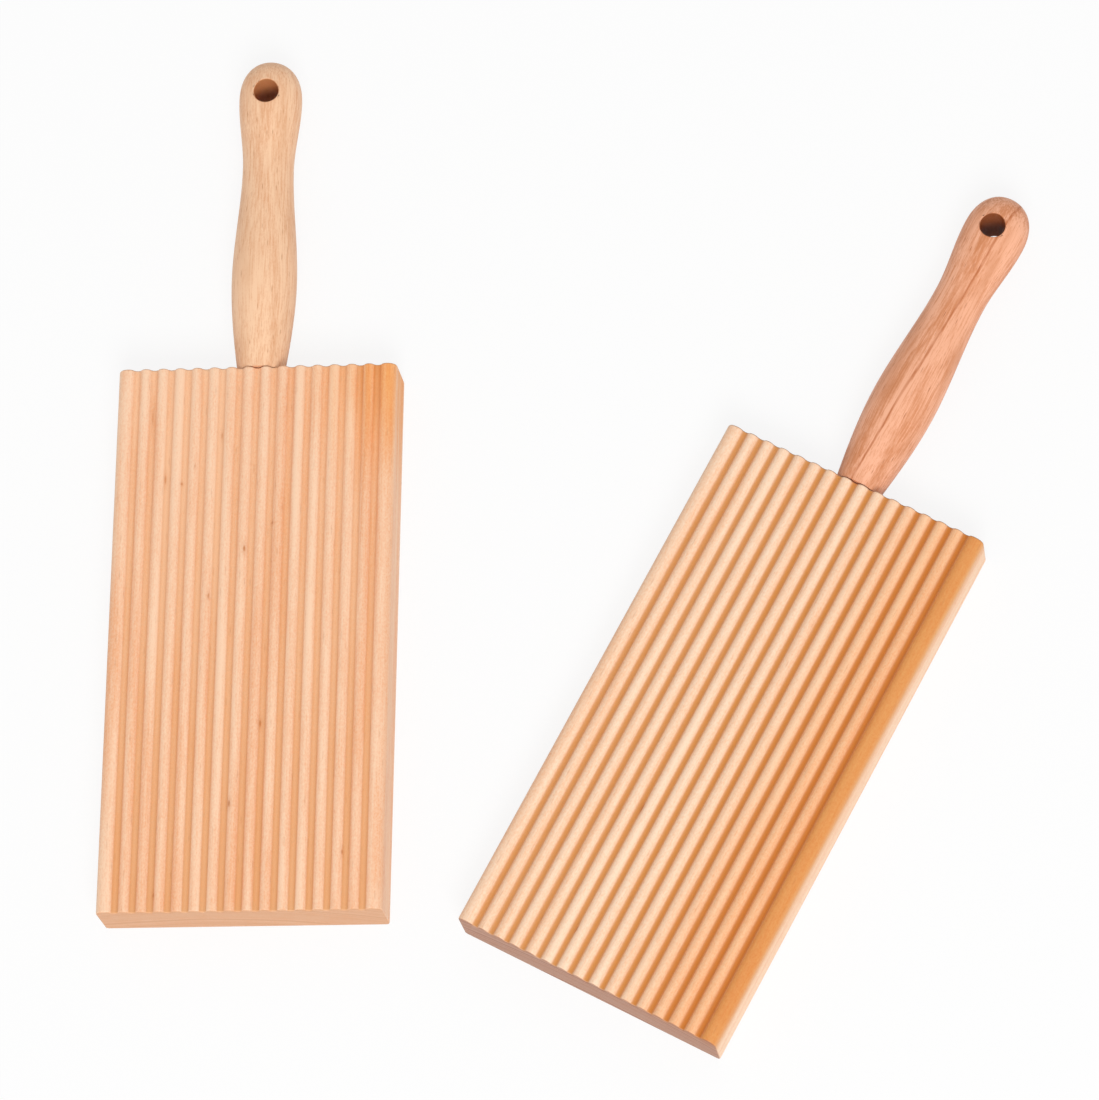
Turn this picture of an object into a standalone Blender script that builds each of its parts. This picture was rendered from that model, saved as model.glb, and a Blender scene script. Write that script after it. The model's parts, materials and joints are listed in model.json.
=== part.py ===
"""A pair of ridged wooden paddles with turned handles, lying side by side, ridges up.

Each paddle is two pieces of wood: a board, ridged along its upper face, and a turned
handle, whose round tenon is glued into a blind socket in the board's end.

Units are metres and +Z is up. The pair lies on z = 0 with the middle of its plan at the
origin. In a paddle's own frame the board's handle end is at y = 0, the handle runs
along +Y, and the underside is at z = 0.
"""
import math

import bmesh
import bpy
from mathutils import Vector

# Board
BOARD_LENGTH = 0.188
BOARD_WIDTH = 0.094
BOARD_THICKNESS = 0.020
TOP_EDGE_RADIUS = 0.0032
BOTTOM_EDGE_RADIUS = 0.0012
END_CHAMFER = 0.0006

# Ridges: the grooves between them run the board's whole length, and fill its width
GROOVE_COUNT = 15
GROOVE_DEPTH = 0.0018
GROOVE_FLOOR_RADIUS = 0.00125
EDGE_FLAT = 0.0003

# Handle
HANDLE_LENGTH = 0.1128
ROOT_DIAMETER = 0.0158
ROOT_FLARE = 0.15
SWELL_DIAMETER = 0.0220
SWELL_FROM_BOARD = 0.0335
WAIST_DIAMETER = 0.0173
WAIST_FROM_TIP = 0.0385
KNOB_DIAMETER = 0.0214
KNOB_FROM_TIP = 0.0137
KNOB_BLUNTNESS = 2.25
HANG_HOLE_DIAMETER = 0.0084

# Joint between handle and board
TENON_DIAMETER = 0.0080
TENON_LENGTH = 0.022
TENON_CHAMFER = 0.0010
SOCKET_END_SPACE = 0.0010

# Clearances
FIT_GAP = 0.0003
HANDLE_OVER_TABLE = 0.0006

# Where each paddle lies: the middle of its board's handle end, and its turn about +Z
PLACES = {
    "left": ((0.0, 0.0), 0.0),
    "right": ((0.1998, -0.0458), math.radians(-27.4)),
}

# Facets
TURNED_SIDES = 24
EDGE_ARC_STEPS = 4
RIDGE_ARC_STEPS = 3
FLOOR_ARC_STEPS = 3
STRETCH_STEPS = 7
CUT_MARGIN = 0.002

# Finish
BOARD_COLOUR = (0.87, 0.56, 0.33, 1.0)
HANDLE_COLOURS = {
    "left": (0.80, 0.48, 0.27, 1.0),
    "right": (0.66, 0.30, 0.14, 1.0),
}
WOOD_ROUGHNESS = 0.55

# The handle's axis lies just high enough for its widest place to clear the table
AXIS_HEIGHT = max(SWELL_DIAMETER, KNOB_DIAMETER) / 2 + HANDLE_OVER_TABLE


def clear_scene():
    """Remove the objects the file was opened with."""
    for obj in list(bpy.data.objects):
        bpy.data.objects.remove(obj, do_unlink=True)


def new_collection(name):
    """Return an empty collection linked to the scene."""
    collection = bpy.data.collections.new(name)
    bpy.context.scene.collection.children.link(collection)
    return collection


def wood(name, colour):
    """Return a plain, bare wood material."""
    material = bpy.data.materials.new(name)
    material.use_nodes = True
    shader = material.node_tree.nodes["Principled BSDF"]
    shader.inputs["Base Color"].default_value = colour
    shader.inputs["Roughness"].default_value = WOOD_ROUGHNESS
    shader.inputs["Metallic"].default_value = 0.0
    return material


def arc(centre, radius, start, end, steps):
    """Return points along an arc, both ends included; angles in radians."""
    points = []
    for step in range(steps + 1):
        angle = start + (end - start) * step / steps
        points.append((centre[0] + radius * math.cos(angle), centre[1] + radius * math.sin(angle)))
    return points


def groove_outline(middle, half_pitch):
    """Return one groove from ridge top to ridge top, going towards -X.

    The floor and the ridge tops are arcs that meet at a shared slope, so the depth and
    the pitch settle the sum of their radii.
    """
    radius_sum = (half_pitch ** 2 + GROOVE_DEPTH ** 2) / (2 * GROOVE_DEPTH)
    ridge_radius = radius_sum - GROOVE_FLOOR_RADIUS
    slope = 2 * math.atan2(GROOVE_DEPTH, half_pitch)
    ridge_z = BOARD_THICKNESS - ridge_radius
    floor_z = BOARD_THICKNESS - GROOVE_DEPTH + GROOVE_FLOOR_RADIUS
    upright = math.pi / 2
    right_ridge = arc((middle + half_pitch, ridge_z), ridge_radius,
                      upright, upright + slope, RIDGE_ARC_STEPS)
    floor = arc((middle, floor_z), GROOVE_FLOOR_RADIUS,
                slope - upright, -slope - upright, 2 * FLOOR_ARC_STEPS)
    left_ridge = arc((middle - half_pitch, ridge_z), ridge_radius,
                     upright - slope, upright, RIDGE_ARC_STEPS)
    return right_ridge[:-1] + floor + left_ridge[1:]


def board_outline():
    """Return the board's section, x across and z up, anticlockwise."""
    half = BOARD_WIDTH / 2
    low = BOTTOM_EDGE_RADIUS
    top = TOP_EDGE_RADIUS
    # The outer ridges run over a narrow flat into the board's rounded edges
    half_pitch = (half - top - EDGE_FLAT) / GROOVE_COUNT
    upright = math.pi / 2
    points = arc((half - low, low), low, -upright, 0.0, EDGE_ARC_STEPS)
    points += arc((half - top, BOARD_THICKNESS - top), top, 0.0, upright, EDGE_ARC_STEPS)
    for index in reversed(range(GROOVE_COUNT)):
        middle = (2 * index - GROOVE_COUNT + 1) * half_pitch
        groove = groove_outline(middle, half_pitch)
        # Neighbouring grooves share the point on the ridge between them
        points += groove if index == GROOVE_COUNT - 1 else groove[1:]
    points += arc((top - half, BOARD_THICKNESS - top), top, upright, math.pi, EDGE_ARC_STEPS)
    points += arc((low - half, low), low, math.pi, math.pi + upright, EDGE_ARC_STEPS)
    return points


def eased(start, end, flare, span, share):
    """Return a smooth value between two radii, with a slope only at the start."""
    blend = share * share * (3 - 2 * share)
    lead = share * (1 - share) ** 2 * flare * span
    return start + (end - start) * blend + lead


def handle_profile():
    """Return (radius, distance from the board) points, from the tip down to the tenon."""
    knob = HANDLE_LENGTH - KNOB_FROM_TIP
    waist = HANDLE_LENGTH - WAIST_FROM_TIP
    stations = [
        (FIT_GAP, ROOT_DIAMETER / 2, ROOT_FLARE),
        (SWELL_FROM_BOARD, SWELL_DIAMETER / 2, 0.0),
        (waist, WAIST_DIAMETER / 2, 0.0),
        (knob, KNOB_DIAMETER / 2, 0.0),
    ]
    rising = []
    for (low, low_radius, flare), (high, high_radius, _) in zip(stations, stations[1:]):
        for step in range(STRETCH_STEPS):
            share = step / STRETCH_STEPS
            radius = eased(low_radius, high_radius, flare, high - low, share)
            rising.append((radius, low + (high - low) * share))
    # The end is a blunted half oval
    power = KNOB_BLUNTNESS
    for step in range(STRETCH_STEPS + 1):
        angle = math.pi / 2 * step / STRETCH_STEPS
        radius = KNOB_DIAMETER / 2 * max(math.cos(angle), 0.0) ** (2 / power)
        rising.append((radius, knob + KNOB_FROM_TIP * math.sin(angle) ** (2 / power)))
    rising[-1] = (0.0, HANDLE_LENGTH)
    tenon = TENON_DIAMETER / 2
    foot = [
        (tenon, FIT_GAP),
        (tenon, TENON_CHAMFER - TENON_LENGTH),
        (tenon - TENON_CHAMFER, -TENON_LENGTH),
        (0.0, -TENON_LENGTH),
    ]
    return list(reversed(rising)) + foot


def baked(obj, collection, name):
    """Replace an object by a mesh of its evaluated shape, welded and free of flat seams."""
    depsgraph = bpy.context.evaluated_depsgraph_get()
    mesh = bpy.data.meshes.new_from_object(obj.evaluated_get(depsgraph))
    welded = bmesh.new()
    welded.from_mesh(mesh)
    bmesh.ops.remove_doubles(welded, verts=welded.verts, dist=0.000001)
    bmesh.ops.dissolve_limit(welded, angle_limit=math.radians(0.1),
                             verts=welded.verts, edges=welded.edges)
    welded.to_mesh(mesh)
    welded.free()
    mesh.name = name
    solid = bpy.data.objects.new(name, mesh)
    solid.matrix_world = obj.matrix_world
    collection.objects.link(solid)
    bpy.data.objects.remove(obj, do_unlink=True)
    return solid


def smooth(obj, angle):
    """Shade an object's faces smooth, except across edges sharper than the angle."""
    obj.data.shade_smooth()
    obj.data.set_sharp_from_angle(angle=angle)


def cut(obj, cutter, name):
    """Take the cutter's shape out of an object."""
    boolean = obj.modifiers.new(name, "BOOLEAN")
    boolean.operation = "DIFFERENCE"
    boolean.solver = "EXACT"
    boolean.object = cutter


def drill(name, radius, length, location, tilt, parent, cutters):
    """Return a round cutter, its length along Z before the tilt about X."""
    mesh = bpy.data.meshes.new(name)
    shape = bmesh.new()
    bmesh.ops.create_cone(shape, cap_ends=True, segments=TURNED_SIDES,
                          radius1=radius, radius2=radius, depth=length)
    shape.to_mesh(mesh)
    shape.free()
    cutter = bpy.data.objects.new(name, mesh)
    cutter.parent = parent
    cutter.location = location
    cutter.rotation_euler = (tilt, 0.0, 0.0)
    cutter.hide_render = True
    cutter.display_type = "WIRE"
    cutters.objects.link(cutter)
    return cutter


def make_board(side, paddle, parts, cutters):
    """Make a ridged board with a blind round socket in its handle end."""
    name = side + "_board"
    outline = board_outline()
    section = bpy.data.curves.new(name + "_section", "CURVE")
    section.dimensions = "2D"
    section.fill_mode = "BOTH"
    section.extrude = BOARD_LENGTH / 2
    spline = section.splines.new("POLY")
    spline.points.add(len(outline) - 1)
    for point, (across, height) in zip(spline.points, outline):
        point.co = (across, height, 0.0, 1.0)
    spline.use_cyclic_u = True
    blank = bpy.data.objects.new(name + "_blank", section)
    parts.objects.link(blank)
    board = baked(blank, parts, name)
    board.parent = paddle
    board.location = (0.0, -BOARD_LENGTH / 2, 0.0)
    board.rotation_euler = (math.pi / 2, 0.0, 0.0)
    chamfer = board.modifiers.new("end_chamfer", "BEVEL")
    chamfer.width = END_CHAMFER
    chamfer.segments = 1
    chamfer.limit_method = "ANGLE"
    chamfer.angle_limit = math.radians(60)
    depth = TENON_LENGTH + SOCKET_END_SPACE
    middle = (0.0, (CUT_MARGIN - depth) / 2, AXIS_HEIGHT)
    socket = drill(name + "_socket", TENON_DIAMETER / 2 + FIT_GAP, depth + CUT_MARGIN,
                   middle, -math.pi / 2, paddle, cutters)
    cut(board, socket, "socket")
    smooth(board, math.radians(40))
    board.data.materials.append(wood(name, BOARD_COLOUR))
    return board


def make_handle(side, paddle, parts, cutters):
    """Make a turned handle with its tenon and the hanging hole through its knob."""
    name = side + "_handle"
    profile = handle_profile()
    points = [(radius, 0.0, along) for radius, along in profile]
    edges = [(index, index + 1) for index in range(len(points) - 1)]
    mesh = bpy.data.meshes.new(name + "_profile")
    mesh.from_pydata(points, edges, [])
    blank = bpy.data.objects.new(name + "_blank", mesh)
    parts.objects.link(blank)
    turning = blank.modifiers.new("turning", "SCREW")
    turning.axis = "Z"
    turning.angle = 2 * math.pi
    turning.steps = TURNED_SIDES
    turning.render_steps = TURNED_SIDES
    turning.use_merge_vertices = True
    turning.merge_threshold = 0.00001
    handle = baked(blank, parts, name)
    handle.parent = paddle
    handle.location = (0.0, 0.0, AXIS_HEIGHT)
    handle.rotation_euler = (-math.pi / 2, 0.0, 0.0)
    middle = (0.0, HANDLE_LENGTH - KNOB_FROM_TIP, AXIS_HEIGHT)
    hole = drill(name + "_hang_hole", HANG_HOLE_DIAMETER / 2, KNOB_DIAMETER + CUT_MARGIN,
                 middle, 0.0, paddle, cutters)
    cut(handle, hole, "hang_hole")
    smooth(handle, math.radians(40))
    handle.data.materials.append(wood(name, HANDLE_COLOURS[side]))
    return handle


def centre_pair(pair, solids):
    """Move the pair so that the middle of its plan is over the origin."""
    bpy.context.view_layer.update()
    depsgraph = bpy.context.evaluated_depsgraph_get()
    corners = []
    for solid in solids:
        evaluated = solid.evaluated_get(depsgraph)
        corners += [evaluated.matrix_world @ vertex.co for vertex in evaluated.data.vertices]
    low = Vector((min(point.x for point in corners), min(point.y for point in corners), 0.0))
    high = Vector((max(point.x for point in corners), max(point.y for point in corners), 0.0))
    pair.location = -(low + high) / 2
    bpy.context.view_layer.update()


def main():
    """Build both paddles and centre them."""
    clear_scene()
    parts = new_collection("ridged_paddles")
    cutters = new_collection("cutters")
    pair = bpy.data.objects.new("pair", None)
    parts.objects.link(pair)
    solids = []
    for side, (place, turn) in PLACES.items():
        paddle = bpy.data.objects.new(side + "_paddle", None)
        paddle.parent = pair
        paddle.location = (place[0], place[1], 0.0)
        paddle.rotation_euler = (0.0, 0.0, turn)
        parts.objects.link(paddle)
        solids.append(make_board(side, paddle, parts, cutters))
        solids.append(make_handle(side, paddle, parts, cutters))
    centre_pair(pair, solids)


if __name__ == "__main__":
    main()
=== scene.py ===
"""Two ridged wooden paddles lying side by side, ridges up, on a pale floor.

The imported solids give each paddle's place and size. Every piece of wood is modelled here
again at the same sizes, with rounder forms, and finished with its own grain.

Lengths are metres, except in the finishes, where they are millimetres.
"""
import json
import logging
import math
from dataclasses import dataclass
from enum import Enum
from typing import Any, Callable

import bmesh
import bpy
from mathutils import Matrix, Vector


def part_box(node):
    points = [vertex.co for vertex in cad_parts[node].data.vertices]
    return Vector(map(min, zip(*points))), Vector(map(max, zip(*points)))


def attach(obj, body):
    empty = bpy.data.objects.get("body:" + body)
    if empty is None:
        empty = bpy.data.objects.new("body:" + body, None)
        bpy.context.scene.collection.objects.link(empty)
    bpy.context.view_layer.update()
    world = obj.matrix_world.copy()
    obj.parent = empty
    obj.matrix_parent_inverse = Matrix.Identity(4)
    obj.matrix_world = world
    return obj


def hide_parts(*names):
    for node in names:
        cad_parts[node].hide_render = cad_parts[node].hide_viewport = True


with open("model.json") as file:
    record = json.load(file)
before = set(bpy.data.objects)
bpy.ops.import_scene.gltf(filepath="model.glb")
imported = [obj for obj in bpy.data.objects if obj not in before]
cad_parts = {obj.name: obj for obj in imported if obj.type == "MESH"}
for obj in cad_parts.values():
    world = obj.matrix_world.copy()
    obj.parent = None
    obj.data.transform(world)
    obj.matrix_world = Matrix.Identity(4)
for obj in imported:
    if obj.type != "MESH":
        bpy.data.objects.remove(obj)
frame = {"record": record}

Node = bpy.types.Node
Socket = bpy.types.NodeSocket
Tree = bpy.types.NodeTree
Material = bpy.types.Material
Piece = bpy.types.Object
Colour = tuple[float, float, float, float]
Triple = tuple[float, float, float]

LOG = logging.getLogger("ridged_paddles")
MM = 0.001
TINY = 0.00001
ALLOWED_PAST = 0.1 * MM
SMOOTH_ANGLE = math.radians(32)
RIM_ANGLE = math.radians(35)
LEVEL_ANGLE = math.radians(1)

# The wood's soft patterns: the grain's size across, along and down in millimetres, its
# detail and its roughness
WANDER = ((38.0, 210.0, 38.0), 1.5, 0.45)
STREAKS = ((4.5, 75.0, 4.5), 2.5, 0.6)
HEART = ((9.0, 42.0, 9.0), 2.0, 0.5)
# Real fibres are hundredths of a millimetre across. These are as coarse as they need to
# be to show, and so is the mottle of sanded fibre ends.
FIBRES = ((0.5, 14.0, 0.5), 3.0, 0.6)
MOTTLE = ((0.55, 0.9, 0.55), 2.0, 0.6)
# How far the rings wander to the sides, in millimetres
WANDER_REACH = (7.0, 0.0, 7.0)
# Most of a noise pattern lies between these
NOISE_SPREAD = (0.3, 0.7)
# A pore's width and length as shares of its cell, where it is full and where it ends in
# cells from its middle, and its depth against the fibres' relief
PORE_IN_CELL = (0.2, 0.3)
PORE_EDGE = (0.06, 0.24)
PORE_RELIEF = 0.8
# A fleck's surround and its middle: the reach in half sizes and the share of its tone.
# Each is full within a core, a share of its reach, and so is the stained patch.
FLECK_RINGS = ((2.6, 0.3), (1.0, 1.0))
FLECK_CORE = 0.25
STAIN_CORE = 0.1
# The least that shows of a stain between streaks, of end grain between ring lines, and
# of a vein between fibres
STAIN_LEAST = 0.25
END_LEAST = 0.7
VEIN_LEAST = 0.4


class Side(Enum):
    """Which paddle of the pair."""

    LEFT = "left"
    RIGHT = "right"


class Part(Enum):
    """What an edit-mode selection picks."""

    FACE = "FACE"
    EDGE = "EDGE"


# ---- Tools ----


def linear(hex_colour: str) -> Colour:
    """Turn an sRGB hex colour into a linear one.

    Args:
        hex_colour: six hex digits after a hash sign.

    Returns:
        Linear red, green and blue, and an alpha of 1.
    """
    channels = [int(hex_colour[start:start + 2], 16) / 255 for start in (1, 3, 5)]
    red, green, blue = (
        value / 12.92 if value <= 0.04045 else ((value + 0.055) / 1.055) ** 2.4
        for value in channels
    )
    return red, green, blue, 1.0


def add_node(tree: Tree, kind: str, inputs: dict[Any, Any], **settings: Any) -> Node:
    """Add a node with its settings and links.

    Args:
        tree: the node tree it goes into.
        kind: the node's type name.
        inputs: a constant or another node's output for each input, by name or number.
        settings: the node's own options.

    Returns:
        The new node.
    """
    node = tree.nodes.new(kind)
    for name, value in settings.items():
        setattr(node, name, value)
    for key, value in inputs.items():
        if isinstance(value, bpy.types.NodeSocket):
            tree.links.new(value, node.inputs[key])
        else:
            node.inputs[key].default_value = value
    return node


def maths(tree: Tree, operation: str, *values: Any) -> Socket:
    """Add a sum on numbers and return its result."""
    node = add_node(tree, "ShaderNodeMath", dict(enumerate(values)), operation=operation)
    return node.outputs[0]


def vectors(tree: Tree, operation: str, *values: Any) -> Socket:
    """Add a sum on vectors and return its result, which is a number for a length."""
    node = add_node(tree, "ShaderNodeVectorMath", dict(enumerate(values)), operation=operation)
    return node.outputs["Value" if operation == "LENGTH" else "Vector"]


def ramp(tree: Tree, value: Socket, start: float, end: float, low: float = 0.0,
         high: float = 1.0, eased: bool = False) -> Socket:
    """Map a value from start and end to low and high, and hold it between those.

    Args:
        tree: the material's nodes.
        value: the value to map.
        start: where the result is low.
        end: where the result is high. It may be less than start.
        low: the result at start.
        high: the result at end.
        eased: whether the change starts and stops softly.

    Returns:
        The mapped value.
    """
    return add_node(tree, "ShaderNodeMapRange", {
        "Value": value, "From Min": start, "From Max": end, "To Min": low, "To Max": high,
    }, interpolation_type="SMOOTHSTEP" if eased else "LINEAR").outputs[0]


def noise(tree: Tree, point: Socket, pattern: tuple[Triple, float, float],
          output: int | str = 0) -> Socket:
    """Add one of the wood's soft patterns; its value, output 0, varies round 0.5."""
    size, detail, roughness = pattern
    drawn = vectors(tree, "MULTIPLY", point, tuple(1 / length for length in size))
    return add_node(tree, "ShaderNodeTexNoise", {
        "Vector": drawn, "Scale": 1.0, "Detail": detail, "Roughness": roughness,
    }).outputs[output]


def tint(tree: Tree, under: Any, over: str, share: Any, blend: str = "MIX") -> Socket:
    """Lay one colour over another.

    Args:
        tree: the material's nodes.
        under: the colour so far.
        over: the sRGB hex colour laid on it.
        share: how much of it covers.
        blend: MIX to cover as a paint does, or MULTIPLY to darken as a stain does.

    Returns:
        The mixed colour.
    """
    mixed = add_node(tree, "ShaderNodeMix", {0: share, 6: under, 7: linear(over)},
                     data_type="RGBA", blend_type=blend, clamp_factor=True)
    return mixed.outputs[2]


def from_spot(tree: Tree, point: Socket, x: float, y: float, half_width: float,
              half_length: float) -> Socket:
    """Measure in plan how far a point is from an oval's middle; its edge is at 1."""
    return vectors(tree, "LENGTH", vectors(
        tree, "MULTIPLY_ADD", point, (1 / half_width, 1 / half_length, 0.0),
        (-x / half_width, -y / half_length, 0.0)))


def pick(piece: Piece, part: Part, test: Callable[[Any], bool]) -> None:
    """Select the faces or edges of the piece in edit mode that pass a test.

    Args:
        piece: the object in edit mode.
        part: whether faces or edges are picked.
        test: says for one face or edge whether it is wanted.
    """
    bpy.ops.mesh.select_mode(type=part.value)
    bpy.ops.mesh.select_all(action="DESELECT")
    shape = bmesh.from_edit_mesh(piece.data)
    for item in shape.faces if part is Part.FACE else shape.edges:
        if test(item):
            item.select_set(True)
    shape.select_flush_mode()
    bmesh.update_edit_mesh(piece.data)


def hold(piece: Piece | None = None) -> None:
    """Deselect everything, then select the piece, if one is given, and make it active."""
    bpy.ops.object.select_all(action="DESELECT")
    if piece is not None:
        piece.select_set(True)
        bpy.context.view_layer.objects.active = piece


def begin(name: str) -> Piece:
    """Name the primitive just added, put its place into its mesh and open it for editing."""
    piece = bpy.context.active_object
    piece.name = name
    piece.data.name = name
    bpy.ops.object.transform_apply(location=True, rotation=True, scale=True)
    bpy.ops.object.mode_set(mode="EDIT")
    return piece


def bevel(radius: float, steps: int) -> None:
    """Round the selected edges."""
    bpy.ops.mesh.bevel(offset=radius, offset_type="OFFSET", affect="EDGES",
                       segments=steps, profile=0.5, clamp_overlap=False)


def subtract(piece: Piece, cutter: Piece) -> None:
    """Take the cutter's shape out of the piece and remove the cutter."""
    modifier = piece.modifiers.new("cut", "BOOLEAN")
    modifier.operation = "DIFFERENCE"
    modifier.solver = "EXACT"
    modifier.object = cutter
    hold(piece)
    bpy.ops.object.modifier_apply(modifier="cut")
    bpy.data.objects.remove(cutter, do_unlink=True)


def smooth(piece: Piece) -> None:
    """Shade the piece smooth across blunt edges, broad faces staying flat."""
    hold(piece)
    bpy.ops.object.shade_smooth_by_angle(angle=SMOOTH_ANGLE, keep_sharp_edges=True)
    modifier = piece.modifiers.new("even_shading", "WEIGHTED_NORMAL")
    modifier.keep_sharp = True
    bpy.ops.object.modifier_apply(modifier="even_shading")


# ---- Places ----


@dataclass(frozen=True)
class Place:
    """Where a paddle lies: the middle of its board's handle end, and its turn about +Z."""

    x: float
    y: float
    turn: float

    @classmethod
    def from_record(cls, record: dict[str, Any], side: Side, board_length: float) -> "Place":
        """Work out a paddle's place from its underside and its hanging hole.

        Args:
            record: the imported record.
            side: which paddle.
            board_length: from the board's middle to its handle end is half of this.

        Returns:
            The paddle's place.
        """
        mounts = {mount["name"]: mount for mount in record["mounts"]}
        openings = {opening["name"]: opening for opening in record["physics"]["openings"]}
        middle = Vector(mounts[f"{side.value}_underside"]["pos_m"][:2])
        low, high = openings[f"{side.value}_hanging_hole"]["box_m"]
        hole = (Vector(low[:2]) + Vector(high[:2])) / 2
        along = (hole - middle).normalized()
        end = middle + along * board_length / 2
        return cls(end.x, end.y, math.atan2(-along.x, along.y))

    @property
    def matrix(self) -> Matrix:
        """The move from the paddle's own frame into the world."""
        return Matrix.Translation((self.x, self.y, 0.0)) @ Matrix.Rotation(self.turn, 4, "Z")

    def put(self, pattern: Piece, name: str) -> Piece:
        """Copy a piece modelled in the paddle's own frame, and lay the copy in its place.

        Args:
            pattern: the piece in the paddle's own frame.
            name: the copy's name.

        Returns:
            The copy, with its place in its own mesh.
        """
        hold(pattern)
        bpy.ops.object.duplicate(linked=False)
        piece = bpy.context.active_object
        piece.name = name
        piece.data.name = name
        piece.matrix_world = self.matrix
        bpy.ops.object.transform_apply(location=True, rotation=True, scale=True)
        return piece


# ---- Finishes (lengths in millimetres, in the paddle's own frame) ----


@dataclass(frozen=True)
class Fleck:
    """A small dark pin knot or gum streak: its place, half its size, and its depth of tone."""

    x: float
    y: float
    half_width: float
    half_length: float
    tone: float


@dataclass(frozen=True, kw_only=True)
class Timber:
    """Bare, sanded hardwood: growth rings round a pith, fibres and pores along the piece.

    The rings', streaks', fibres' and mottle's depths say how far each moves the colour
    between pale and deep. The pores' depth is how much of their own colour they take.
    """

    pale: str
    deep: str
    pore: str
    pith: Triple
    lean: tuple[float, float]
    ring: float
    ring_depth: float
    streak_depth: float
    fibre_depth: float
    mottle_depth: float
    base_tone: float
    pore_size: tuple[float, float]
    pore_depth: float
    roughness: tuple[float, float]
    specular: float = 0.35
    relief_height: float = 0.12
    relief_share: float = 0.35

    def open(self, name: str, place: Place) -> tuple[Material, Socket]:
        """Start a material that reads the piece in its own frame.

        Args:
            name: the material's name.
            place: where the paddle lies.

        Returns:
            The material, and the point on the piece in millimetres.
        """
        material = bpy.data.materials.new(name)
        material.use_nodes = True
        tree = material.node_tree
        coordinates = add_node(tree, "ShaderNodeTexCoord", {})
        # Turns the grain so that it runs along this paddle
        in_frame = add_node(tree, "ShaderNodeMapping", {
            "Vector": coordinates.outputs["Object"],
            "Location": (place.x, place.y, 0.0),
            "Rotation": (0.0, 0.0, place.turn),
            "Scale": (MM, MM, MM),
        }, vector_type="TEXTURE")
        return material, in_frame.outputs["Vector"]

    def rings(self, tree: Tree, point: Socket, ring: float) -> Socket:
        """Draw the growth rings that the surface cuts through.

        Args:
            tree: the material's nodes.
            point: the point in millimetres.
            ring: the rings' mean width.

        Returns:
            0 in the palest early wood to 1 in the deepest late wood.
        """
        wander = noise(tree, point, WANDER, "Color")
        shift = vectors(tree, "MULTIPLY_ADD", wander, WANDER_REACH, point)
        # The trunk's own frame: its pith is the Y axis
        trunk = add_node(tree, "ShaderNodeMapping", {
            "Vector": shift,
            "Location": self.pith,
            "Rotation": (self.lean[0], 0.0, self.lean[1]),
        }, vector_type="TEXTURE")
        flat = vectors(tree, "MULTIPLY", trunk.outputs[0], (1 / ring, 0.0, 1 / ring))
        # Rings of uneven width, each with finer bands in it
        bands = add_node(tree, "ShaderNodeTexNoise", {
            "W": vectors(tree, "LENGTH", flat), "Scale": 1.0, "Detail": 3.0, "Roughness": 0.6},
            noise_dimensions="1D")
        return ramp(tree, bands.outputs[0], *NOISE_SPREAD)

    def tone(self, tree: Tree, point: Socket, fibres: Socket) -> Socket:
        """Mix the wood's two colours by its rings, fibres, streaks and mottle.

        Args:
            tree: the material's nodes.
            point: the point in millimetres.
            fibres: the fine lengthwise fibres.

        Returns:
            The wood's colour.
        """
        total = self.base_tone
        for value, depth in (
                (self.rings(tree, point, self.ring), self.ring_depth),
                (fibres, self.fibre_depth),
                (noise(tree, point, STREAKS), self.streak_depth),
                (noise(tree, point, MOTTLE), self.mottle_depth)):
            # Each pattern varies round the same middle tone
            swing = maths(tree, "MULTIPLY_ADD", value, depth, -0.5 * depth)
            total = maths(tree, "ADD", total, swing)
        return tint(tree, linear(self.pale), self.deep, total)

    def pores(self, tree: Tree, point: Socket) -> Socket:
        """Draw the short dark pore lines, wider than real ones so that they show.

        Args:
            tree: the material's nodes.
            point: the point in millimetres.

        Returns:
            0 on plain wood, up to 1 in the middle of a pore.
        """
        width, length = self.pore_size
        across, along = PORE_IN_CELL
        cells = vectors(tree, "MULTIPLY", point,
                        (across / width, along / length, across / width))
        dashes = add_node(tree, "ShaderNodeTexVoronoi", {
            "Vector": cells, "Scale": 1.0, "Randomness": 1.0}, feature="F1")
        near = ramp(tree, dashes.outputs["Distance"], *PORE_EDGE, 1.0, 0.0, eased=True)
        strength = add_node(tree, "ShaderNodeSeparateColor", {0: dashes.outputs["Color"]})
        return maths(tree, "MULTIPLY", near, strength.outputs[0])

    def show_pores(self, tree: Tree, colour: Socket, pores: Socket) -> Socket:
        """Lay the pores' colour over the wood's and return the result."""
        return tint(tree, colour, self.pore, maths(tree, "MULTIPLY", pores, self.pore_depth))

    def close(self, material: Material, colour: Socket, fibres: Socket,
              pores: Socket) -> Material:
        """Join the colour to the shader, with the sheen and the relief of sanded wood.

        Args:
            material: the material that open() started.
            colour: the finished colour.
            fibres: the fine lengthwise fibres.
            pores: from pores().

        Returns:
            The finished material.
        """
        tree = material.node_tree
        shader = tree.nodes["Principled BSDF"]
        shader.inputs["Metallic"].default_value = 0.0
        shader.inputs["IOR"].default_value = 1.5
        shader.inputs["Specular IOR Level"].default_value = self.specular
        bump = add_node(tree, "ShaderNodeBump", {
            "Strength": self.relief_share, "Distance": self.relief_height * MM,
            "Height": maths(tree, "MULTIPLY_ADD", pores, -PORE_RELIEF, fibres)})
        tree.links.new(colour, shader.inputs["Base Color"])
        tree.links.new(ramp(tree, fibres, *NOISE_SPREAD, *self.roughness),
                       shader.inputs["Roughness"])
        tree.links.new(bump.outputs[0], shader.inputs["Normal"])
        return material


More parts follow.
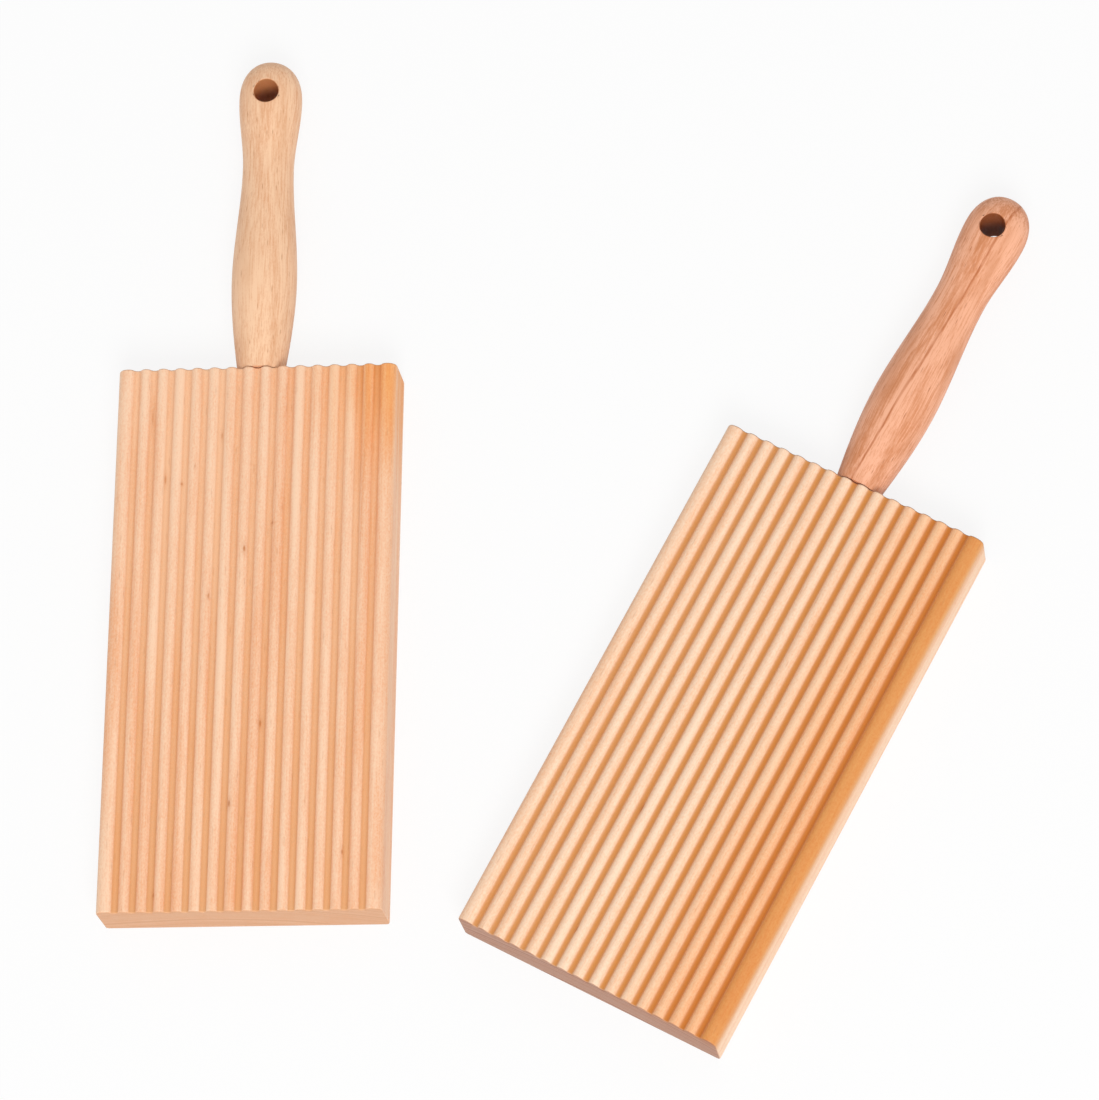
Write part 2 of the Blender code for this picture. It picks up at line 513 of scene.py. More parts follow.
@dataclass(frozen=True, kw_only=True)
class SandedBeech(Timber):
    """Steamed beech, planed, moulded and sanded: pale peach, close-grained and matt.

    The groove floors are painted warmer and darker than the ridge tops: painted shade and
    bounced light in the grooves.

    Attributes:
        groove_reach: where the floors' painted shade starts and is full, in groove depths
            down.
        groove_limit: the lowest that it goes, in groove depths down.
        groove_margin: how far it stays from the rounded long edges.
        handle_end_share: how much of it is left at the handle's end.
        left_side_share: how much of it is left along the left side.
        end_fade: how far from an end the end grain starts and is full.
        end_ring: the ends' ring width as a share of the top's.
        stain_at: the stained patch's x, y, half width and half length.
        stain_runs: the streaks' values where the stain is least and full.
        side_full: where the warm side is warmest, as a share of the way to the edge.
        flat_full: the same for the edge's flat, in half pitches past the last groove.
        warm_reach: where the warmth starts and is full, in groove depths down.
    """

    groove: str
    groove_shade_share: float
    groove_reach: tuple[float, float] = (0.4, 0.8)
    groove_limit: float = 1.2
    groove_margin: float = 0.2
    handle_end_share: float = 1.0
    left_side_share: float = 1.0
    end_grain_and_shade: str = "#D29C74"
    end_fade: tuple[float, float] = (0.45, 0.1)
    end_ring: float = 0.35
    knot: str = "#BE6A22"
    flecks: tuple[Fleck, ...]
    stain: str = "#FCD48E"
    stain_at: tuple[float, float, float, float] = (0.0, 0.0, 1.0, 1.0)
    stain_runs: tuple[float, float] = (0.3, 0.64)
    stain_share: float = 0.0
    warmth_and_shade: str = "#F2B74B"
    warmth_and_shade_share: float = 0.0
    side_full: float = 0.85
    flat: str = "#E9CE9C"
    flat_share: float = 0.0
    flat_full: float = 0.6
    warm_reach: tuple[float, float] = (5.0, 0.5)

    def make(self, name: str, place: Place, board: "RidgedBoard") -> Material:
        """Make the board's material.

        Args:
            name: the material's name.
            place: where the paddle lies.
            board: the board, for its sizes.

        Returns:
            The material.
        """
        material, point = self.open(name, place)
        tree = material.node_tree
        fibres, pores = noise(tree, point, FIBRES), self.pores(tree, point)
        parts = add_node(tree, "ShaderNodeSeparateXYZ", {0: point}).outputs
        # Both end faces: 0 along the board, 1 on the end grain
        half = board.length / 2 / MM
        from_middle = maths(tree, "ABSOLUTE", maths(tree, "ADD", parts[1], half))
        at_end = ramp(tree, from_middle, *(half - fade for fade in self.end_fade))
        # A stained patch: 1 in its middle, 0 outside it
        stained = ramp(tree, from_spot(tree, point, *self.stain_at), 1.0, STAIN_CORE,
                       0.0, self.stain_share, eased=True)

        colour = self.tone(tree, point, fibres)
        # Painted shade and bounced light on the groove floors
        colour = tint(tree, colour, self.groove,
                      self.in_groove_shade(tree, parts, board, at_end, stained))
        colour = self.warm_side(tree, parts, board, colour)
        # The stain has run along the grain
        runs = ramp(tree, noise(tree, point, STREAKS), *self.stain_runs, STAIN_LEAST)
        colour = tint(tree, colour, self.stain,
                      maths(tree, "MULTIPLY", stained, runs), "MULTIPLY")
        # Pin knots and gum streaks, each dark in the middle with a faint surround
        for fleck in self.flecks:
            far = from_spot(tree, point, fleck.x, fleck.y, fleck.half_width,
                            fleck.half_length)
            for reach, share in FLECK_RINGS:
                mark = ramp(tree, far, reach, FLECK_CORE * reach, 0.0, share * fleck.tone,
                            eased=True)
                colour = tint(tree, colour, self.knot, mark)
        colour = self.show_pores(tree, colour, pores)
        # End grain drinks more light and shows the rings as fine lines; on the right board its
        # deeper colour is also painted shade
        lines = ramp(tree, self.rings(tree, point, self.end_ring * self.ring),
                     0.0, 1.0, END_LEAST)
        colour = tint(tree, colour, self.end_grain_and_shade, maths(tree, "MULTIPLY", at_end, lines))
        return self.close(material, colour, fibres, pores)

    def in_groove_shade(self, tree: Tree, parts: Any, board: "RidgedBoard", at_end: Socket,
                  stained: Socket) -> Socket:
        """Say how much of the groove floors' painted shade shows.

        Args:
            tree: the material's nodes.
            parts: the point's three coordinates.
            board: the board, for its sizes.
            at_end: 1 on the end faces, where there is none.
            stained: 1 in the middle of the stained patch, where it is all kept.

        Returns:
            0 on the ridges, up to the finish's own share on the groove floors.
        """
        top, depth = board.thickness / MM, board.groove_depth / MM
        edge = board.flat_half_width / MM - self.groove_margin
        share = ramp(tree, parts[2], *(top - reach * depth for reach in self.groove_reach),
                     0.0, self.groove_shade_share, eased=True)
        # The painted groove shade is fainter towards the handle end
        fade_to_handle_end = ramp(tree, parts[1], -board.length / MM, 0.0, 1.0, self.handle_end_share)
        for limit in (
                maths(tree, "LESS_THAN", maths(tree, "ABSOLUTE", parts[0]), edge),
                maths(tree, "GREATER_THAN", parts[2], top - self.groove_limit * depth),
                maths(tree, "SUBTRACT", 1.0, at_end),
                maths(tree, "MAXIMUM", fade_to_handle_end, stained),
                ramp(tree, parts[0], -edge, self.side_full * edge, self.left_side_share)):
            share = maths(tree, "MULTIPLY", share, limit)
        return share

    def warm_side(self, tree: Tree, parts: Any, board: "RidgedBoard",
                  colour: Socket) -> Socket:
        """Warm and darken one long side, partly the wood's own tone and partly painted light
        falloff, and most of all the flat at its edge.

        Args:
            tree: the material's nodes.
            parts: the point's three coordinates.
            board: the board, for its sizes.
            colour: the colour so far.

        Returns:
            The warmed colour.
        """
        top, depth = board.thickness / MM, board.groove_depth / MM
        edge = board.flat_half_width / MM - self.groove_margin
        half_pitch = board.half_pitch / MM
        last_groove = (board.groove_count - 1) * half_pitch
        on_top = ramp(tree, parts[2], *(top - reach * depth for reach in self.warm_reach))
        # Painted falloff shade, with the wood's warmer tone, towards the +X side
        warmth_and_shade_mask = ramp(tree, parts[0], 0.0, self.side_full * edge, 0.0, self.warmth_and_shade_share,
                      eased=True)
        on_flat = ramp(tree, parts[0], last_groove,
                       last_groove + self.flat_full * half_pitch, 0.0, self.flat_share)
        for hue, share in ((self.warmth_and_shade, warmth_and_shade_mask), (self.flat, on_flat)):
            colour = tint(tree, colour, hue, maths(tree, "MULTIPLY", share, on_top),
                          "MULTIPLY")
        return colour


@dataclass(frozen=True, kw_only=True)
class TurnedRubberwood(Timber):
    """Rubberwood, turned and sanded: tan to reddish, with long open pores, low sheen.

    Attributes:
        heart_cut: the soft pattern's values where heartwood starts and is full.
        vein_from: the x and y where the vein starts.
        vein_to: the x and y where it ends.
        vein_edge: how far from its middle the vein ends and is full.
        vein_waver: how far it wavers from side to side in all.
        vein_breaks: the fibres' values where it is least and full.
        bore_shade_edge: how far into the wood the hole wall's painted shade ends and is full.
    """

    heart: str
    heart_share: float
    heart_cut: tuple[float, float] = (0.46, 0.66)
    vein: str = "#B8622C"
    vein_from: tuple[float, float] = (0.0, 0.0)
    vein_to: tuple[float, float] = (0.0, 1.0)
    vein_edge: tuple[float, float] = (0.62, 0.08)
    vein_waver: float = 2.4
    vein_breaks: tuple[float, float] = (0.25, 0.6)
    vein_share: float = 0.0
    bore_shade: str = "#CC8450"
    bore_shade_edge: tuple[float, float] = (0.3, 0.02)
    bore_shade_share: float = 0.9

    def make(self, name: str, place: Place, handle: "TurnedHandle") -> Material:
        """Make the handle's material.

        Args:
            name: the material's name.
            place: where the paddle lies.
            handle: the handle, for its sizes.

        Returns:
            The material.
        """
        material, point = self.open(name, place)
        tree = material.node_tree
        fibres, pores = noise(tree, point, FIBRES), self.pores(tree, point)

        colour = self.tone(tree, point, fibres)
        # Darker heartwood in soft lengthwise patches
        cloud = noise(tree, point, HEART)
        heart = ramp(tree, cloud, *self.heart_cut, 0.0, self.heart_share, eased=True)
        colour = tint(tree, colour, self.heart, heart)
        colour = tint(tree, colour, self.vein,
                      self.in_vein(tree, point, cloud, fibres, handle.axis_height / MM))
        colour = self.show_pores(tree, colour, pores)
        # Painted shade darkens the hanging hole's wall, and the wall is left dull, without
        # specular
        from_hole = from_spot(tree, point, 0.0, handle.hole_from_board / MM, 1.0, 1.0)
        bore_shade = ramp(tree, from_hole,
                     *(handle.hole_radius / MM + edge for edge in self.bore_shade_edge),
                     0.0, self.bore_shade_share)
        colour = tint(tree, colour, self.bore_shade, bore_shade)
        tree.links.new(ramp(tree, bore_shade, 0.0, 1.0, self.specular, 0.0),
                       tree.nodes["Principled BSDF"].inputs["Specular IOR Level"])
        return self.close(material, colour, fibres, pores)

    def in_vein(self, tree: Tree, point: Socket, cloud: Socket, fibres: Socket,
                axis_height: float) -> Socket:
        """Say how much of the one dark vein down the upper side shows.

        Args:
            tree: the material's nodes.
            point: the point in millimetres.
            cloud: the soft noise that the vein wavers with.
            fibres: the fine lengthwise fibres, which break the vein up.
            axis_height: how high the handle's axis is.

        Returns:
            0 beside the vein, up to the finish's own share in its middle.
        """
        parts = add_node(tree, "ShaderNodeSeparateXYZ", {0: point}).outputs
        (x0, y0), (x1, y1) = self.vein_from, self.vein_to
        slope = (x1 - x0) / (y1 - y0)
        line = maths(tree, "MULTIPLY_ADD", parts[1], slope, x0 - slope * y0)
        off = maths(tree, "SUBTRACT", parts[0], line)
        waver = maths(tree, "MULTIPLY_ADD", cloud, self.vein_waver, off)
        away = maths(tree, "ABSOLUTE", maths(tree, "SUBTRACT", waver, self.vein_waver / 2))
        share = ramp(tree, away, *self.vein_edge, 0.0, self.vein_share, eased=True)
        for limit in (ramp(tree, fibres, *self.vein_breaks, VEIN_LEAST),
                      maths(tree, "GREATER_THAN", parts[2], axis_height)):
            share = maths(tree, "MULTIPLY", share, limit)
        return share


BEECH = {
    Side.LEFT: SandedBeech(
        pale="#FFD6B4", deep="#F5B284", pore="#A8693B",
        pith=(-18.0, 0.0, -110.0), lean=(0.02, 0.03), ring=5.0, ring_depth=0.5,
        streak_depth=1.8, fibre_depth=1.0, mottle_depth=1.4, base_tone=0.3,
        pore_size=(0.3, 3.0), pore_depth=0.22, roughness=(0.5, 0.66),
        flecks=(
            Fleck(-29.7, -39.1, 0.4, 2.2, 0.5), Fleck(-24.1, -40.8, 0.45, 0.7, 0.5),
            Fleck(6.8, -55.2, 0.45, 0.7, 0.6), Fleck(-2.1, -64.3, 0.5, 1.5, 0.7),
            Fleck(-13.5, -80.5, 0.4, 1.4, 0.55), Fleck(5.1, -124.4, 0.5, 1.7, 0.6),
            Fleck(-4.1, -151.7, 0.6, 1.5, 0.65), Fleck(33.5, -168.6, 0.4, 1.2, 0.5),
            Fleck(-28.0, -182.1, 0.45, 1.2, 0.5), Fleck(-34.9, -17.1, 0.35, 4.0, 0.4),
            Fleck(-11.2, -24.0, 0.4, 1.6, 0.4), Fleck(-19.7, -35.0, 0.35, 1.0, 0.35),
        ),
        # The groove colour is painted shade in the grooves
        groove="#E1A46C", groove_shade_share=0.86, handle_end_share=0.4,
        stain_at=(46.0, 8.0, 36.0, 66.0), stain_share=1.0,
    ),
    Side.RIGHT: SandedBeech(
        pale="#FFDEC0", deep="#F5B98C", pore="#A8693B",
        pith=(12.0, 0.0, -130.0), lean=(0.02, -0.02), ring=5.5, ring_depth=0.4,
        streak_depth=1.0, fibre_depth=0.8, mottle_depth=1.4, base_tone=0.3,
        pore_size=(0.3, 3.0), pore_depth=0.2, roughness=(0.5, 0.66),
        flecks=(
            Fleck(-10.7, -129.0, 0.5, 2.2, 0.6), Fleck(-10.7, -174.0, 0.45, 1.8, 0.5),
        ),
        groove="#CC8434", groove_shade_share=0.985, groove_reach=(0.5, 1.0),
        # The deep end colour is partly painted shade on the end faces
        # The warmth towards one side is partly painted light falloff
        left_side_share=0.865, end_grain_and_shade="#9E6A54", warmth_and_shade_share=0.44, flat_share=1.0,
    ),
}

RUBBERWOOD = {
    Side.LEFT: TurnedRubberwood(
        pale="#FFD2AB", deep="#E8AA7E", pore="#B4703C",
        pith=(30.0, 0.0, -25.0), lean=(0.03, 0.05), ring=4.5, ring_depth=0.55,
        streak_depth=0.9, fibre_depth=2.4, mottle_depth=0.8, base_tone=0.3,
        pore_size=(0.18, 2.5), pore_depth=0.75, roughness=(0.45, 0.6),
        heart="#D69868", heart_share=0.3,
    ),
    Side.RIGHT: TurnedRubberwood(
        pale="#FAB894", deep="#DA8E62", pore="#A4582C",
        pith=(-34.0, 0.0, -20.0), lean=(0.03, -0.04), ring=4.0, ring_depth=0.65,
        streak_depth=1.2, fibre_depth=3.2, mottle_depth=0.8, base_tone=0.38,
        pore_size=(0.18, 2.5), pore_depth=0.75, roughness=(0.42, 0.58),
        # The bore colour is painted shade in the hole
        heart="#C2743E", heart_share=0.45, bore_shade="#9E5226",
        vein_from=(-1.6, 2.0), vein_to=(3.9, 104.0), vein_share=0.75,
    ),
}


# ---- Pieces ----


@dataclass
class RidgedBoard:
    """A rectangular board with rounded ridges along its upper face.

    In its own frame its handle end is at y = 0, it runs along -Y, and its underside is at
    z = 0.
    """

    length: float = 0.188
    width: float = 0.094
    thickness: float = 0.020
    groove_count: int = 15
    groove_depth: float = 0.0018
    floor_radius: float = 0.00125
    edge_flat: float = 0.0003
    top_edge_radius: float = 0.0032
    bottom_edge_radius: float = 0.0012
    end_rounding: float = 0.0006
    socket_radius: float = 0.0043
    socket_depth: float = 0.023
    socket_height: float = 0.0116
    socket_sides: int = 48
    round_steps: int = 7
    end_steps: int = 3

    @property
    def flat_half_width(self) -> float:
        """How far from its middle line the top goes before the long edge's rounding."""
        return self.width / 2 - self.top_edge_radius

    @property
    def half_pitch(self) -> float:
        """Half the distance from one ridge to the next."""
        return (self.flat_half_width - self.edge_flat) / self.groove_count

    @property
    def wall_slope(self) -> float:
        """The steepest slope of a groove's side, where floor and ridge roundings meet."""
        return 2 * math.atan2(self.groove_depth, self.half_pitch)

    @property
    def ridge_radius(self) -> float:
        """The radius of a ridge's top, which the pitch and the depth settle."""
        both = (self.half_pitch ** 2 + self.groove_depth ** 2) / (2 * self.groove_depth)
        return both - self.floor_radius

    def corner(self, radius: float) -> float:
        """How far a rounding's sharp corner lies from where the rounding starts."""
        return radius * math.tan(self.wall_slope / 2)

    def model(self, name: str) -> Piece:
        """Model the board in its own frame.

        Args:
            name: the piece's name.

        Returns:
            The piece.
        """
        hold()
        bpy.ops.mesh.primitive_cube_add(
            size=1.0, location=(0.0, -self.length / 2, self.thickness / 2),
            scale=(self.width, self.length, self.thickness))
        board = begin(name)
        self.cut_grooves(board)
        self.round_edges(board)
        self.bore_socket(board)
        bpy.ops.object.mode_set(mode="OBJECT")
        smooth(board)
        return board

    def cut_grooves(self, board: Piece) -> None:
        """Divide the block across and lower the groove floors, still with sharp corners."""
        floor = self.corner(self.floor_radius)
        ridge = self.half_pitch - self.corner(self.ridge_radius)
        for index in range(self.groove_count):
            middle = (2 * index - self.groove_count + 1) * self.half_pitch
            for across in (middle - ridge, middle - floor, middle + floor, middle + ridge):
                bpy.ops.mesh.select_all(action="SELECT")
                bpy.ops.mesh.bisect(plane_co=(across, 0.0, 0.0), plane_no=(1.0, 0.0, 0.0))

        def is_floor(face: bmesh.types.BMFace) -> bool:
            place = face.calc_center_median()
            step = (place.x / self.half_pitch + self.groove_count - 1) / 2
            off = abs(step - round(step)) * 2 * self.half_pitch
            held = 0 <= round(step) < self.groove_count
            return face.normal.z > 1 - TINY and off < floor / 2 and held

        pick(board, Part.FACE, is_floor)
        bpy.ops.transform.translate(value=(0.0, 0.0, -self.groove_depth))
        bpy.ops.mesh.select_all(action="SELECT")
        bpy.ops.mesh.dissolve_limited(angle_limit=LEVEL_ANGLE)

    def round_edges(self, board: Piece) -> None:
        """Round the ridges, the groove floors, the long edges and the rims of both ends."""
        half = self.width / 2
        floor_z = self.thickness - self.groove_depth

        def runs_along(edge: bmesh.types.BMEdge, outer: bool, z: float) -> bool:
            start, end = (vertex.co for vertex in edge.verts)
            return (abs(start.y - end.y) > self.length / 2 and abs(start.z - z) < TINY
                    and (abs(start.x) > half - TINY) is outer)

        # Whether the edges are the outermost, their height, and how far back each is cut
        roundings = (
            (False, self.thickness, self.corner(self.ridge_radius)),
            (False, floor_z, self.corner(self.floor_radius)),
            (True, self.thickness, self.top_edge_radius),
            (True, 0.0, self.bottom_edge_radius),
        )
        for outer, z, offset in roundings:
            pick(board, Part.EDGE, lambda edge: runs_along(edge, outer, z))
            bevel(offset, self.round_steps)
            # Neighbouring roundings meet, and the strips between them have no width left
            bpy.ops.mesh.select_all(action="SELECT")
            bpy.ops.mesh.remove_doubles(threshold=TINY)
        for y in (0.0, -self.length):
            pick(board, Part.EDGE,
                 lambda edge: all(abs(vertex.co.y - y) < TINY for vertex in edge.verts))
            bevel(self.end_rounding, self.end_steps)
        # Each flat end is parted below the grooves, so that the socket goes in a plain face
        below = floor_z - 2 * self.end_rounding
        pick(board, Part.FACE, lambda face: abs(face.normal.y) > 1 - TINY
             and len(face.verts) > self.round_steps * self.groove_count)
        bpy.ops.mesh.bisect(plane_co=(0.0, 0.0, below), plane_no=(0.0, 0.0, 1.0))

    def bore_socket(self, board: Piece) -> None:
        """Open the blind round socket that takes the handle's tenon."""
        half_end = 0.5 * self.width * self.thickness
        pick(board, Part.FACE, lambda face: face.normal.y > 1 - TINY
             and face.calc_area() > half_end)
        bpy.ops.mesh.delete(type="ONLY_FACE")
        bpy.ops.mesh.select_all(action="DESELECT")
        bpy.ops.mesh.primitive_circle_add(
            vertices=self.socket_sides, radius=self.socket_radius,
            location=(0.0, 0.0, self.socket_height), rotation=(math.pi / 2, 0.0, 0.0))
        pick(board, Part.EDGE, lambda edge: edge.is_boundary or edge.is_wire)
        bpy.ops.mesh.fill(use_beauty=True)

        def on_mouth(edge: bmesh.types.BMEdge) -> bool:
            return all(abs(math.hypot(vertex.co.x, vertex.co.z - self.socket_height)
                           - self.socket_radius) < TINY for vertex in edge.verts)

        pick(board, Part.EDGE, on_mouth)
        bpy.ops.mesh.extrude_edges_move(
            TRANSFORM_OT_translate={"value": (0.0, -self.socket_depth, 0.0)})
        bpy.ops.mesh.edge_face_add()
        bpy.ops.mesh.select_all(action="SELECT")
        bpy.ops.mesh.normals_make_consistent(inside=False)


@dataclass
class TurnedHandle:
    """A turned handle: slim root, swell, waist and round knob, with a tenon behind.

    In its own frame it runs along +Y from the board's end at y = 0, and z = 0 is the table.
    """

    length: float = 0.1128
    axis_height: float = 0.0116
    root_radius: float = 0.0079
    root_flare: float = 0.15
    swell_radius: float = 0.0110
    swell_from_board: float = 0.0335
    waist_radius: float = 0.00865
    waist_from_tip: float = 0.0385
    knob_radius: float = 0.0107
    knob_from_tip: float = 0.0137
    knob_bluntness: float = 2.25
    hole_radius: float = 0.0042
    hole_easing: float = 0.0004
    tenon_radius: float = 0.0040
    tenon_length: float = 0.022
    tenon_chamfer: float = 0.0010
    joint_gap: float = 0.0003
    turned_sides: int = 96
    stretch_steps: int = 16
    hole_sides: int = 64
    easing_steps: int = 3

    @property
    def hole_from_board(self) -> float:
        """How far the hanging hole's middle is from the board's end."""
        return self.length - self.knob_from_tip

    def eased(self, low: float, high: float, rise: float, share: float) -> float:
        """Go smoothly from one radius to the next, with a slope only at the start.

        Args:
            low: the radius at the start.
            high: the radius at the end.
            rise: the slope at the start times the distance.
            share: how far along, from 0 to 1.

        Returns:
            The radius there.
        """
        blend = share * share * (3 - 2 * share)
        return low + (high - low) * blend + share * (1 - share) ** 2 * rise

    def profile(self) -> list[tuple[float, float]]:
        """List the turned outline.

        Returns:
            (radius, distance from the board) from the tenon's end to the tip.
        """
        tenon = self.tenon_radius
        points = [
            (0.0, -self.tenon_length),
            (tenon - self.tenon_chamfer, -self.tenon_length),
            (tenon, self.tenon_chamfer - self.tenon_length),
            (tenon, self.joint_gap),
        ]
        knob = self.hole_from_board
        # (distance from the board, radius, slope)
        stations = [
            (self.joint_gap, self.root_radius, self.root_flare),
            (self.swell_from_board, self.swell_radius, 0.0),
            (self.length - self.waist_from_tip, self.waist_radius, 0.0),
            (knob, self.knob_radius, 0.0),
        ]
        for (low, low_radius, flare), (high, high_radius, _) in zip(stations, stations[1:]):
            for step in range(self.stretch_steps):
                share = step / self.stretch_steps
                radius = self.eased(low_radius, high_radius, flare * (high - low), share)
                points.append((radius, low + (high - low) * share))
        # The tip is a blunted half oval
        power = 2 / self.knob_bluntness
        for step in range(self.stretch_steps):
            angle = math.pi / 2 * step / self.stretch_steps
            points.append((self.knob_radius * math.cos(angle) ** power,
                           knob + self.knob_from_tip * math.sin(angle) ** power))
        points.append((0.0, self.length))
        return points

    def model(self, name: str) -> Piece:
        """Model the handle in its own frame.

        Args:
            name: the piece's name.

        Returns:
            The piece.
        """
        points = self.profile()
        hold()
        bpy.ops.mesh.primitive_plane_add(
            size=self.root_radius, location=(0.0, points[0][1], self.axis_height))
        handle = begin(name)
        # The outline is drawn out from one point on the axis, then turned
        bpy.ops.mesh.select_mode(type="VERT")
        bpy.ops.mesh.select_all(action="SELECT")
        bpy.ops.mesh.merge(type="CENTER")
        for (radius, along), (next_radius, next_along) in zip(points, points[1:]):
            step = (next_radius - radius, next_along - along, 0.0)
            bpy.ops.mesh.extrude_vertices_move(TRANSFORM_OT_translate={"value": step})
        bpy.ops.mesh.select_all(action="SELECT")
        bpy.ops.mesh.spin(steps=self.turned_sides, angle=2 * math.pi, use_auto_merge=True,
                          center=(0.0, 0.0, self.axis_height), axis=(0.0, 1.0, 0.0))
        bpy.ops.mesh.select_all(action="SELECT")
        bpy.ops.mesh.remove_doubles(threshold=TINY / 10)
        bpy.ops.mesh.normals_make_consistent(inside=False)
        bpy.ops.object.mode_set(mode="OBJECT")
        self.bore_hole(handle)
        smooth(handle)
        return handle

    def bore_hole(self, handle: Piece) -> None:
        """Bore the hanging hole through the knob and ease its two rims."""
        hold()
        bpy.ops.mesh.primitive_cylinder_add(
            vertices=self.hole_sides, radius=self.hole_radius, depth=4 * self.knob_radius,
            location=(0.0, self.hole_from_board, self.axis_height))
        subtract(handle, bpy.context.active_object)
        bpy.ops.object.mode_set(mode="EDIT")

        def on_rim(edge: bmesh.types.BMEdge) -> bool:
            near = all(
                math.hypot(vertex.co.x, vertex.co.y - self.hole_from_board)
                < self.hole_radius + TINY for vertex in edge.verts)
            return near and edge.is_manifold and edge.calc_face_angle() > RIM_ANGLE

        pick(handle, Part.EDGE, on_rim)
        bevel(self.hole_easing, self.easing_steps)
        bpy.ops.object.mode_set(mode="OBJECT")


@dataclass
class Paddle:
    """One paddle: its board and its handle, glued and riding on one body."""

    side: Side
    place: Place

    @property
    def body(self) -> str:
        """The body that both pieces ride on."""
        return f"{self.side.value}_paddle"

    def dress(self, piece: Piece, node: str, material: Material) -> None:
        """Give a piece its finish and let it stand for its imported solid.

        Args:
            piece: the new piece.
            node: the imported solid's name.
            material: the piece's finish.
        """
        piece.data.materials.clear()
        piece.data.materials.append(material)
        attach(piece, self.body)
        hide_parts(node)
        low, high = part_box(node)
        past = max(max(low[axis] - vertex.co[axis], vertex.co[axis] - high[axis])
                   for vertex in piece.data.vertices for axis in range(3))
        if past > ALLOWED_PAST:
            LOG.warning("%s stands %.2f mm past its solid", piece.name, past / MM)
        LOG.info("%s: %d faces", piece.name, len(piece.data.polygons))

    def build(self, board: RidgedBoard, board_pattern: Piece, handle: TurnedHandle,
              handle_pattern: Piece) -> None:
        """Lay copies of both pieces in their places and finish them.

        Args:
            board: the board's sizes.
            board_pattern: the modelled board in its own frame.
            handle: the handle's sizes.
            handle_pattern: the modelled handle in its own frame.
        """
        name = self.side.value
        laid_board = self.place.put(board_pattern, f"{name}_ridged_board")
        beech = BEECH[self.side].make(f"{name}_sanded_beech", self.place, board)
        self.dress(laid_board, f"{name}_board", beech)
        laid_handle = self.place.put(handle_pattern, f"{name}_turned_handle")
        rubberwood = RUBBERWOOD[self.side].make(
            f"{name}_turned_rubberwood", self.place, handle)
        self.dress(laid_handle, f"{name}_handle", rubberwood)


# ---- Studio ----


@dataclass(frozen=True)
class Lamp:
    """A white soft box: its direction from the pair, distance, size and power."""

    name: str
    azimuth: float
    elevation: float
    distance: float
    size: float
    power: float

    def build(self) -> None:
        """Hang the lamp, aimed at the pair."""
        hold()
        turn, rise = math.radians(self.azimuth), math.radians(self.elevation)
        away = Vector((math.cos(turn) * math.cos(rise), math.sin(turn) * math.cos(rise),
                       math.sin(rise)))
        bpy.ops.object.light_add(type="AREA", location=away * self.distance)
        lamp = bpy.context.active_object
        lamp.name = self.name
        lamp.rotation_euler = away.to_track_quat("Z", "Y").to_euler()
        lamp.data.shape = "SQUARE"
        lamp.data.size = self.size
        lamp.data.energy = self.power
        lamp.visible_camera = False


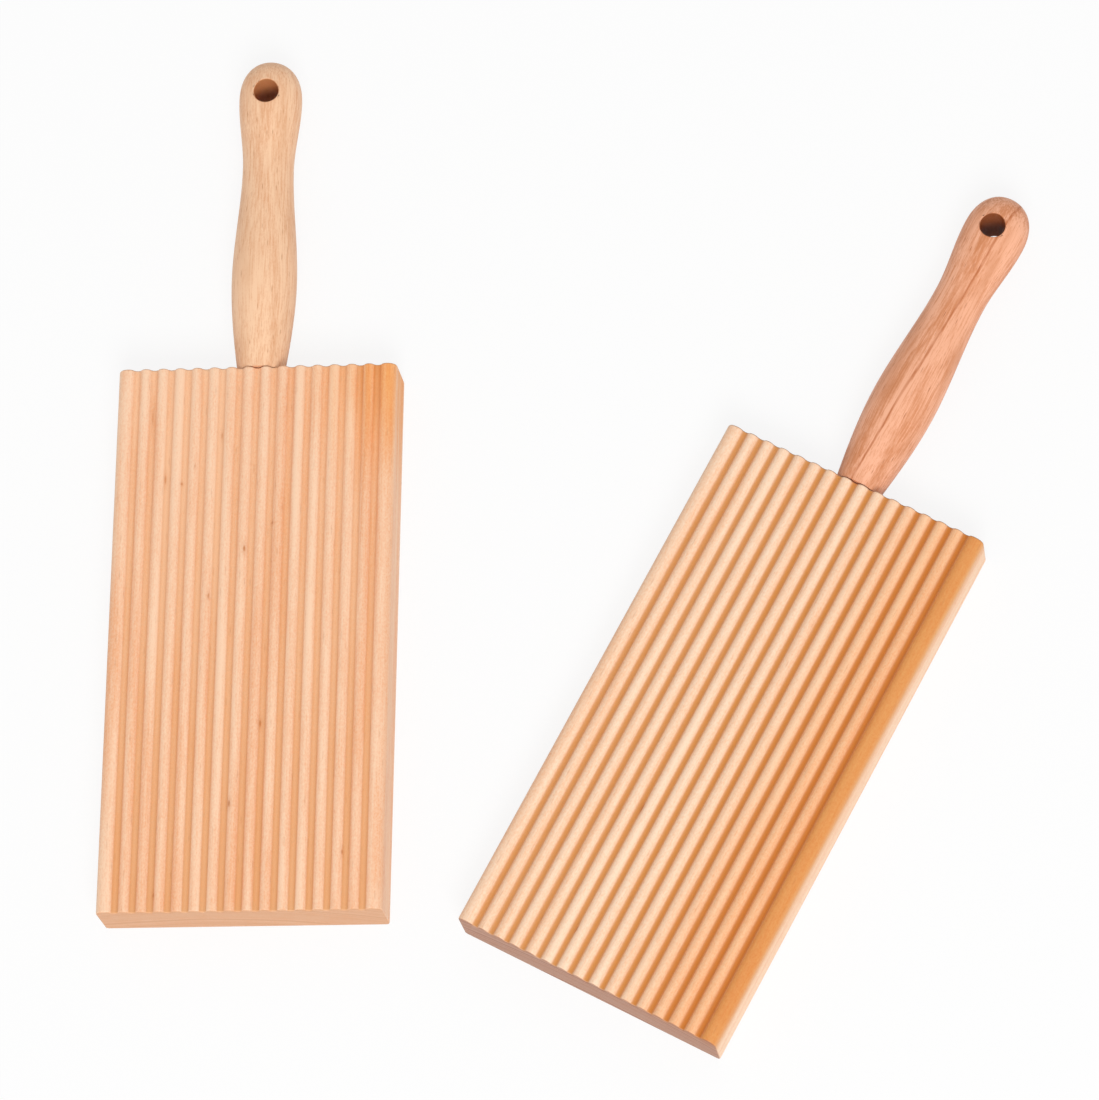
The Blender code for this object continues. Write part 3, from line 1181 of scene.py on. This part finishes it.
@dataclass(frozen=True)
class Studio:
    """A plain pale floor under soft light."""

    floor_size: float = 12.0
    floor_colour: str = "#F4F4F4"
    sky_strength: float = 0.68
    lit_share: float = 0.86
    lamp: Lamp = Lamp("key_light", azimuth=-76.0, elevation=50.0, distance=3.0, size=1.24,
                      power=53.0)

    def build(self) -> None:
        """Lay the floor, light the sky and hang the lamp."""
        hold()
        bpy.ops.mesh.primitive_plane_add(size=self.floor_size)
        floor = bpy.context.active_object
        floor.name = "floor"
        floor.data.materials.append(self.floor_material())
        self.light_sky()
        self.lamp.build()

    def seen_directly(self, tree: Tree) -> Socket:
        """Give 1 to rays from the eye, a reflection or glass, and 0 to bounced light."""
        path = add_node(tree, "ShaderNodeLightPath", {}).outputs
        eye = maths(tree, "MAXIMUM", path["Is Camera Ray"], path["Is Glossy Ray"])
        return maths(tree, "MAXIMUM", eye, path["Is Transmission Ray"])

    def floor_material(self) -> Material:
        """Make the floor: matt pale paper that looks white and keeps a faint shadow."""
        material = bpy.data.materials.new("matt_paper")
        material.use_nodes = True
        tree = material.node_tree
        tree.nodes.remove(tree.nodes["Principled BSDF"])
        matt = add_node(tree, "ShaderNodeBsdfDiffuse", {"Color": linear(self.floor_colour)})
        lit = add_node(tree, "ShaderNodeEmission", {"Strength": 1.0})
        mixed = add_node(tree, "ShaderNodeMixShader", {
            0: maths(tree, "MULTIPLY", self.seen_directly(tree), self.lit_share),
            1: matt.outputs[0], 2: lit.outputs[0]})
        tree.links.new(mixed.outputs[0], tree.nodes["Material Output"].inputs["Surface"])
        return material

    def light_sky(self) -> None:
        """Light the world evenly, and show it white."""
        world = bpy.data.worlds.new("studio_sky")
        bpy.context.scene.world = world
        world.use_nodes = True
        tree = world.node_tree
        tree.nodes.clear()
        strength = ramp(tree, self.seen_directly(tree), 0.0, 1.0, self.sky_strength)
        sky = add_node(tree, "ShaderNodeBackground", {"Strength": strength})
        add_node(tree, "ShaderNodeOutputWorld", {0: sky.outputs[0]})


@dataclass(frozen=True)
class Camera:
    """A long lens above the pair, tilted a little and turned to square up the left paddle."""

    lens: float = 180.65
    sensor_width: float = 36.0
    azimuth: float = 20.0
    tilt: float = 20.0
    roll: float = -20.16
    distance: float = 1.8074
    aim: Triple = (0.0995, -0.0673, 0.020)

    def build(self, left: Place) -> None:
        """Set the camera up.

        Args:
            left: the left paddle's place, which the aim is measured from.
        """
        hold()
        turn = (Matrix.Rotation(math.radians(self.azimuth), 4, "Z")
                @ Matrix.Rotation(math.radians(self.tilt), 4, "X")
                @ Matrix.Rotation(math.radians(self.roll), 4, "Z"))
        aim = left.matrix @ Vector(self.aim)
        bpy.ops.object.camera_add()
        camera = bpy.context.active_object
        camera.name = "camera"
        camera.matrix_world = Matrix.Translation(
            aim + turn.to_3x3() @ Vector((0.0, 0.0, self.distance))) @ turn
        camera.data.lens = self.lens
        camera.data.sensor_width = self.sensor_width
        camera.data.sensor_fit = "HORIZONTAL"
        bpy.context.scene.camera = camera


# ---- The pair ----


def main() -> None:
    """Model both pieces once, lay them out as two paddles and set up the studio."""
    logging.basicConfig(level=logging.INFO, format="%(message)s")
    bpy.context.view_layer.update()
    board = RidgedBoard()
    handle = TurnedHandle()
    board_pattern = board.model("ridged_board")
    handle_pattern = handle.model("turned_handle")
    paddles = [
        Paddle(side, Place.from_record(frame["record"], side, board.length)) for side in Side
    ]
    for paddle in paddles:
        paddle.build(board, board_pattern, handle, handle_pattern)
    for pattern in (board_pattern, handle_pattern):
        bpy.data.objects.remove(pattern, do_unlink=True)
    Studio().build()
    Camera().build(paddles[0].place)
    bpy.context.scene.view_settings.view_transform = "Standard"


if __name__ == "__main__":
    main()
